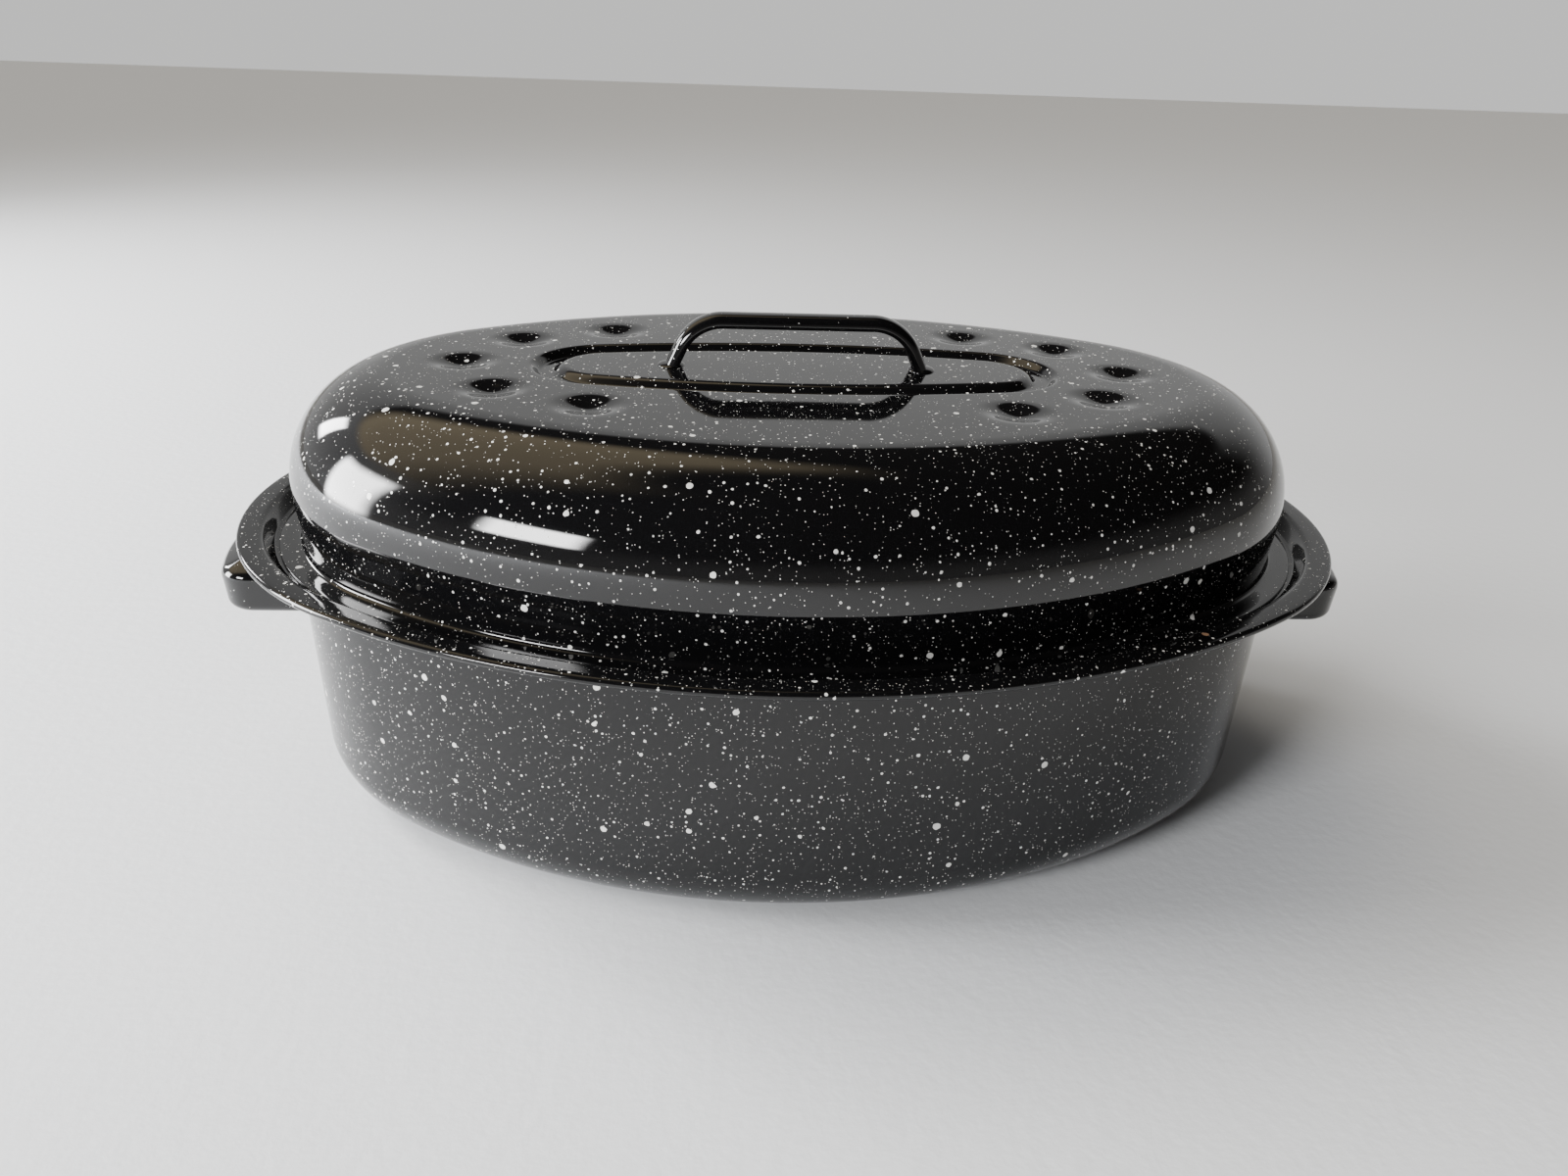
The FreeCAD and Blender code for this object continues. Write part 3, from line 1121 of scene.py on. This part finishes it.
@dataclass(frozen=True)
class LidHandle:
    """The strap handle on the lid: a shallow channel bent to a loop, with a weld under each foot."""

    layout: Layout
    width: float = 12.0 * MM
    height: float = 5.5 * MM
    sheet: float = 1.3 * MM
    edge: float = 0.4 * MM
    fold: float = 3.2 * MM
    crown: float = 0.6 * MM
    spacing: float = 0.5 * MM
    straight: float = 61.0 * MM
    straight_steps: int = 4  # in half the straight
    bend: float = 22.0 * MM
    bend_turn: float = 65.0
    bend_steps: int = 36
    leg_steps: int = 8
    weld: tuple[float, float, float] = (5.6 * MM, 7.0 * MM, 1.5 * MM)
    weld_segments: int = 48

    def build(self, paints: Paints) -> Piece:
        """Models and dresses the handle.

        Args:
            paints: the finishes.

        Returns:
            The piece.
        """
        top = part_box("lid_handle")[1].z
        foot = self.layout.lid_top
        handle = self.bend_half(top, foot)
        mirror(handle, (True, False, False))
        give_thickness(handle, self.sheet, self.edge)
        cut_off(handle, Vector((0, 0, foot)), UP)
        reach = max(vertex.co.x for vertex in handle.data.vertices if vertex.co.z < foot + self.sheet)
        for end in (1, -1):
            join_to(handle, self.make_weld(Vector((end * (reach - self.height / 2), 0, foot))))
        smooth(handle)
        paints.give(handle, Finish.HANDLES)
        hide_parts("lid_handle")
        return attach(handle, "lid")

    def bend_half(self, top: float, foot: float) -> Piece:
        """Bends the right half of the strap, from the middle of the grip down to the lid.

        Args:
            top: the height of the handle's top.
            foot: the height of the lid's top.

        Returns:
            The strap's middle sheet.
        """
        half = self.sheet / 2
        side = self.width / 2 - half
        crest = top - half
        corners = (
            (-side, top - self.height),
            (-side, crest - self.crown),
            (0, crest),
            (side, crest - self.crown),
            (side, top - self.height),
        )
        section = bent_line(corners, (self.fold, self.width, self.fold), self.spacing)
        handle = draw_line("lid_strap", [Vector((0, y, z)) for y, z in section])
        extrude_along((self.straight / 2 / self.straight_steps, 0, 0), self.straight_steps)
        centre = Vector((self.straight / 2, 0, top - self.bend))
        spin_about(centre, self.bend_turn, self.bend_steps, (0, 1, 0))
        down = Matrix.Rotation(math.radians(self.bend_turn), 3, "Y") @ Vector((1, 0, 0))
        extrude_along(down * ((top - foot) / -down.z / self.leg_steps), self.leg_steps)
        close_up(MERGE_DISTANCE)
        face_up(handle, lambda face: face.normal.z > 0)
        return handle

    def make_weld(self, place: Vector) -> Piece:
        """Makes the low mound of metal and enamel round one foot.

        Args:
            place: the middle of the mound's base.

        Returns:
            The mound, to be joined to the handle.
        """
        clear_selection()
        bpy.ops.mesh.primitive_uv_sphere_add(
            segments=self.weld_segments, ring_count=self.weld_segments // 2, radius=1, location=(0, 0, 0)
        )
        mound = bpy.context.active_object
        edit(mound)
        bpy.ops.transform.resize(value=self.weld, center_override=(0, 0, 0))
        bpy.ops.transform.translate(value=place)
        stop_editing()
        cut_off(mound, Vector((0, 0, place.z)), UP)
        return mound


@dataclass(frozen=True)
class EndHandle:
    """A channel handle bent round one end of the pan and welded to its wall."""

    layout: Layout
    face_radius: float = 120.0 * MM
    face_turn: float = 18.0
    face_steps: int = 18
    corner_radius: float = 14.0 * MM
    corner_steps: int = 28
    leg_steps: int = 4
    sheet: float = 1.2 * MM
    section: tuple[Point, ...] = (  # mm, inset and height: top lip, face's top and bottom, bottom lip
        (9.0, 103.0),
        (0.6, 99.4),
        (1.6, 83.8),
        (8.0, 83.0),
    )
    section_radius: float = 3.6 * MM
    spacing: float = 0.6 * MM
    pad_length: float = 13.0 * MM
    pad_edge: float = 0.3 * MM
    pad_steps: int = 12

    def build(self, paints: Paints, side: int, node: str) -> Piece:
        """Models and dresses one handle.

        Args:
            paints: the finishes.
            side: 1 for the right end and -1 for the left.
            node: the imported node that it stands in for.

        Returns:
            The piece.
        """
        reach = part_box("end_handle_right")[1].x
        face_centre = Vector((reach - self.face_radius, 0, 0))
        corner = face_centre + polar(self.face_radius - self.corner_radius, self.face_turn)
        half_width = corner.y + self.corner_radius
        handle = self.bend_half(f"{node}_channel", reach, face_centre, corner)
        give_thickness(handle, self.sheet)
        self.fit_to_wall(handle, half_width)
        join_to(handle, self.make_pad(half_width))
        mirror(handle, (False, True, False))
        if side < 0:
            edit(handle)
            bpy.ops.transform.rotate(value=math.pi, orient_axis="Z", center_override=(0, 0, 0))
            stop_editing()
        smooth(handle)
        paints.give(handle, Finish.HANDLES)
        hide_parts(node)
        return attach(handle, "pan")

    def bend_half(self, name: str, reach: float, face_centre: Vector, corner: Vector) -> Piece:
        """Bends the far half of a right-hand channel, from the middle of its face to past the wall.

        Args:
            name: the piece's name.
            reach: how far the handle's outside is from the middle of the pan.
            face_centre: the centre of the face's curve.
            corner: the centre of the corner's curve.

        Returns:
            The channel's middle sheet.
        """
        corners = [(inset * MM, height * MM) for inset, height in self.section]
        line = bent_line(corners, (self.section_radius,) * 2, self.spacing)
        handle = draw_line(name, [Vector((reach - inset, 0, height)) for inset, height in line])
        spin_about(face_centre, self.face_turn, self.face_steps)
        spin_about(corner, 90 - self.face_turn, self.corner_steps)
        extrude_along((-self.corner_radius / 2, 0, 0), self.leg_steps)
        close_up(MERGE_DISTANCE)
        face_up(handle, lambda face: face.normal.x > 0)
        return handle

    def fit_to_wall(self, handle: Piece, half_width: float) -> None:
        """Cuts the leg's end to the slope of the wall, at the middle of the wall's sheet.

        Args:
            handle: half of the handle.
            half_width: the distance from the middle to the leg's outside.
        """
        depth = self.section[0][0] * MM
        far, near = (self.wall_place(half_width - back) for back in (0, depth))
        along = (near - far).normalized()
        slope = Vector((WALL_FOOT - WALL_TOP, 0, self.layout.ledge))
        normal = along.cross(slope).normalized()
        if normal.x < 0:
            normal.negate()
        cut_off(handle, far, normal)

    def wall_place(self, y: float) -> Vector:
        """Finds the middle of the pan's wall halfway up the handle's face.

        Args:
            y: the distance from the long axis.

        Returns:
            The place.
        """
        _, (_, top), (_, bottom), _ = self.section
        level = (top + bottom) / 2 * MM
        radius = self.layout.rim.end_radius - self.wall_inset(level)
        return Vector((self.layout.rim.end_centre + math.sqrt(radius**2 - y**2), y, level))

    def wall_inset(self, level: float) -> float:
        """Measures the inset of the middle of the pan's wall at a height."""
        return WALL_FOOT + (WALL_TOP - WALL_FOOT) * level / self.layout.ledge

    def make_pad(self, half_width: float) -> Piece:
        """Makes the weld pad that the leg stands on, turned in under the channel.

        Args:
            half_width: the distance from the middle to the leg's outside.

        Returns:
            The pad, to be joined to the handle.
        """
        rim = self.layout.rim
        _, (_, top), (_, bottom), _ = self.section
        low, high = bottom * MM, top * MM
        centre = Vector((rim.end_centre, 0, 0))
        reach = rim.end_radius - self.wall_inset((low + high) / 2)
        start = math.degrees(math.asin((half_width - self.pad_length) / reach))
        end = math.degrees(math.asin(half_width / reach))
        places = []
        for height in (low, (low + high) / 2, high):
            out = rim.end_radius - self.wall_inset(height) + (SHEET + self.sheet) / 2
            places.append(centre + polar(out, start) + Vector((0, 0, height)))
        pad = draw_line("pad", places)
        spin_about(centre, end - start, self.pad_steps)
        stop_editing()
        face_up(pad, lambda face: face.normal.x > 0)
        give_thickness(pad, self.sheet, self.pad_edge)
        return pad


class Rack:
    """The lift-out rack, whose packed wires have the right shape and only need their finish."""

    def dress(self, paints: Paints) -> list[Piece]:
        """Dresses the wires.

        Args:
            paints: the finishes.

        Returns:
            The wires.
        """
        wires = [node for name, node in frame["nodes"].items() if name.startswith("rack")]
        for wire in wires:
            paints.give(wire, Finish.RACK)
        return wires


# --- Studio ----------------------------------------------------------------------------------------
@dataclass(frozen=True)
class SoftEdge:
    """One soft edge of a region: where its mask is 0 and where it reaches 1, along one axis."""

    axis: str
    zero: float
    one: float
    lean: float = 0.0  # how far the axis leans over to the left


def region(tree: Tree, axes: bpy.types.Node, edges: Sequence[SoftEdge]) -> Socket:
    """Makes the mask of a region that has soft edges.

    Args:
        tree: the node tree.
        axes: the node that holds the coordinates.
        edges: the region's edges.

    Returns:
        A socket that is 1 inside all the edges and 0 outside any of them.
    """
    masks = []
    for edge in edges:
        measure = axes.outputs[edge.axis]
        if edge.lean:
            inputs = {0: axes.outputs["X"], 1: -edge.lean, 2: measure}
            measure = add_node(tree, "ShaderNodeMath", {"operation": "MULTIPLY_ADD"}, inputs).outputs[0]
        masks.append(soft_step(tree, measure, edge.zero, edge.one))
    return combine(tree, "MULTIPLY", masks)


@dataclass(frozen=True)
class Sky:
    """The surroundings: pale low down behind, warm at the upper left, and a dim room elsewhere.

    Each edge is on a direction of length 1. X points right, Y away from the camera and Z up.
    """

    backdrop_colours: tuple[str, str] = ("#dededd", "#d0d0cf")  # low down and high up
    room_colours: tuple[str, str] = ("#8c8a88", "#2c2927")
    warm_colour: str = "#f2dfb9"
    warm_strength: float = 1.5
    rise: tuple[SoftEdge, ...] = (SoftEdge("Z", 0.05, 0.36),)  # from the low colours to the high ones
    backdrop: tuple[SoftEdge, ...] = (SoftEdge("Y", -0.05, 0.45, lean=0.35), SoftEdge("Z", 0.56, 0.49))
    warmth: tuple[SoftEdge, ...] = (
        SoftEdge("Z", 0.78, 0.90, lean=0.50),
        SoftEdge("X", 0.35, -0.10),
        SoftEdge("Y", -0.30, 0.20),
        SoftEdge("Z", 0.985, 0.90),
    )

    def set_up(self) -> None:
        """Makes the world that the scene uses."""
        world = bpy.data.worlds.new("world")
        bpy.context.scene.world = world
        world.use_nodes = True
        tree = world.node_tree
        tree.nodes.clear()
        direction = add_node(tree, "ShaderNodeTexCoord").outputs["Generated"]
        axes = add_node(tree, "ShaderNodeSeparateXYZ", inputs={0: direction})
        rise = region(tree, axes, self.rise)
        cloth, walls = (
            blend(tree, rise, linear(low), linear(high))
            for low, high in (self.backdrop_colours, self.room_colours)
        )
        warm = Vector(linear(self.warm_colour)) * self.warm_strength
        room = blend(tree, region(tree, axes, self.warmth), walls, warm)
        colour = blend(tree, region(tree, axes, self.backdrop), room, cloth)
        glow = add_node(tree, "ShaderNodeBackground", inputs={"Color": colour, "Strength": 1.0})
        add_node(tree, "ShaderNodeOutputWorld", inputs={"Surface": glow.outputs[0]})


@dataclass(frozen=True)
class Window:
    """A bright window seen in the gloss: its direction from the object, its size and its radiance."""

    name: str
    azimuth: float
    elevation: float
    width: float
    height: float
    radiance: float
    distance: float = 2.0
    edges: tuple[SoftEdge, ...] = (SoftEdge("X", 0.5, 0.3), SoftEdge("Y", 0.5, 0.3))  # from its middle

    def place(self) -> Vector:
        """Finds the window's middle.

        Returns:
            The place.
        """
        away = polar(math.cos(math.radians(self.elevation)), self.azimuth)
        away.z = math.sin(math.radians(self.elevation))
        return away * self.distance

    def make(self) -> bpy.types.Light:
        """Builds the light, which fades towards its edges as through a net curtain.

        Returns:
            The light's data.
        """
        data = bpy.data.lights.new(self.name, "AREA")
        data.shape = "RECTANGLE"
        data.size = self.width
        data.size_y = self.height
        data.energy = self.radiance * math.pi * self.width * self.height
        data.use_nodes = True
        tree = data.node_tree
        tree.nodes.clear()
        across = add_node(tree, "ShaderNodeNewGeometry").outputs["Parametric"]
        centred = add_node(
            tree, "ShaderNodeVectorMath", {"operation": "SUBTRACT"}, {0: across, 1: (0.5, 0.5, 0.0)}
        ).outputs[0]
        folded = add_node(tree, "ShaderNodeVectorMath", {"operation": "ABSOLUTE"}, {0: centred}).outputs[0]
        axes = add_node(tree, "ShaderNodeSeparateXYZ", inputs={0: folded})
        glow = add_node(tree, "ShaderNodeEmission", inputs={"Strength": region(tree, axes, self.edges)})
        add_node(tree, "ShaderNodeOutputLight", inputs={"Surface": glow.outputs[0]})
        return data


@dataclass(frozen=True)
class Studio:
    """A plain pale floor, the camera, the surroundings, three windows and soft light from the left."""

    floor_size: float = 16.0
    camera_place: Vector = Vector((-30.3, -464.5, 299.1)) * MM
    camera_target: Vector = Vector((-1.93, 0.13, 74.61)) * MM
    camera_roll: float = 2.08
    sensor_width: float = 36
    lens: float = 26.154
    nearest: float = 0.01
    windows: tuple[Window, ...] = (
        Window("window_front", azimuth=-138, elevation=21, width=0.76, height=0.46, radiance=56.0),
        Window("window_side", azimuth=180, elevation=14, width=0.80, height=1.10, radiance=46.0),
        Window("window_back", azimuth=147, elevation=22, width=0.28, height=0.58, radiance=42.0),
    )
    light_target: Vector = Vector((0, 0, 0.15))
    fill_place: Vector = Vector((-0.9, 0.1, 1.5))
    fill_strength: float = 1.1
    fill_spread: float = 80.0
    key_place: Vector = Vector((-1.4, 0.45, 1.3))
    key_size: float = 0.9
    key_energy: float = 30.0

    def set_up(self, paints: Paints) -> None:
        """Sets the whole studio.

        Args:
            paints: the finishes.
        """
        self.set_camera()
        self.lay_floor(paints)
        Sky().set_up()
        self.hang_lights()

    def set_camera(self) -> None:
        """Stands the camera a little left of the middle, looking down at the lid's front."""
        data = bpy.data.cameras.new("camera")
        data.sensor_width = self.sensor_width
        data.lens = self.lens
        data.clip_start = self.nearest
        camera = self.aim(data, self.camera_place, self.camera_target)
        camera.matrix_world = camera.matrix_world @ Matrix.Rotation(math.radians(self.camera_roll), 4, "Z")
        bpy.context.scene.camera = camera

    def lay_floor(self, paints: Paints) -> None:
        """Lays the pale floor.

        Args:
            paints: the finishes.
        """
        clear_selection()
        bpy.ops.mesh.primitive_plane_add(size=self.floor_size, location=(0, 0, 0))
        floor = bpy.context.active_object
        floor.name = "floor"
        paints.give(floor, Finish.FLOOR)

    def hang_lights(self) -> None:
        """Hangs the windows, and a wide fill and a soft key that aren't seen in the gloss."""
        for window in self.windows:
            self.aim(window.make(), window.place(), self.light_target).visible_camera = False
        fill = bpy.data.lights.new("fill", "SUN")
        fill.energy = self.fill_strength
        fill.angle = math.radians(self.fill_spread)
        key = bpy.data.lights.new("key", "AREA")
        key.shape = "DISK"
        key.size = self.key_size
        key.energy = self.key_energy
        for data, place in ((fill, self.fill_place), (key, self.key_place)):
            light = self.aim(data, place, self.light_target)
            light.visible_camera = False
            light.visible_glossy = False

    def aim(self, data: bpy.types.ID, place: Vector, target: Vector) -> Piece:
        """Stands a camera or a light at a place, turned to a target.

        Args:
            data: the camera or the light.
            place: where it stands.
            target: what it points to.

        Returns:
            Its object.
        """
        thing = bpy.data.objects.new(data.name, data)
        facing = (target - place).to_track_quat("-Z", "Y")
        thing.matrix_world = Matrix.Translation(place) @ facing.to_matrix().to_4x4()
        bpy.context.scene.collection.objects.link(thing)
        return thing


def main() -> None:
    """Builds the roaster piece by piece and sets the studio."""
    logging.basicConfig(level=logging.INFO, format="%(name)s: %(message)s")
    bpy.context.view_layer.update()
    paints = Paints()
    layout = Layout.from_frame()
    Studio().set_up(paints)
    ends = EndHandle(layout)
    pieces = [part.build(paints) for part in (Pan(layout), Lid(layout), LidHandle(layout))]
    pieces.append(ends.build(paints, 1, "end_handle_right"))
    pieces.append(ends.build(paints, -1, "end_handle_left"))
    pieces.extend(Rack().dress(paints))
    for piece in pieces:
        log.info("%s: %d faces", piece.name, len(piece.data.polygons))
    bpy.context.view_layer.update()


if __name__ == "__main__":
    main()
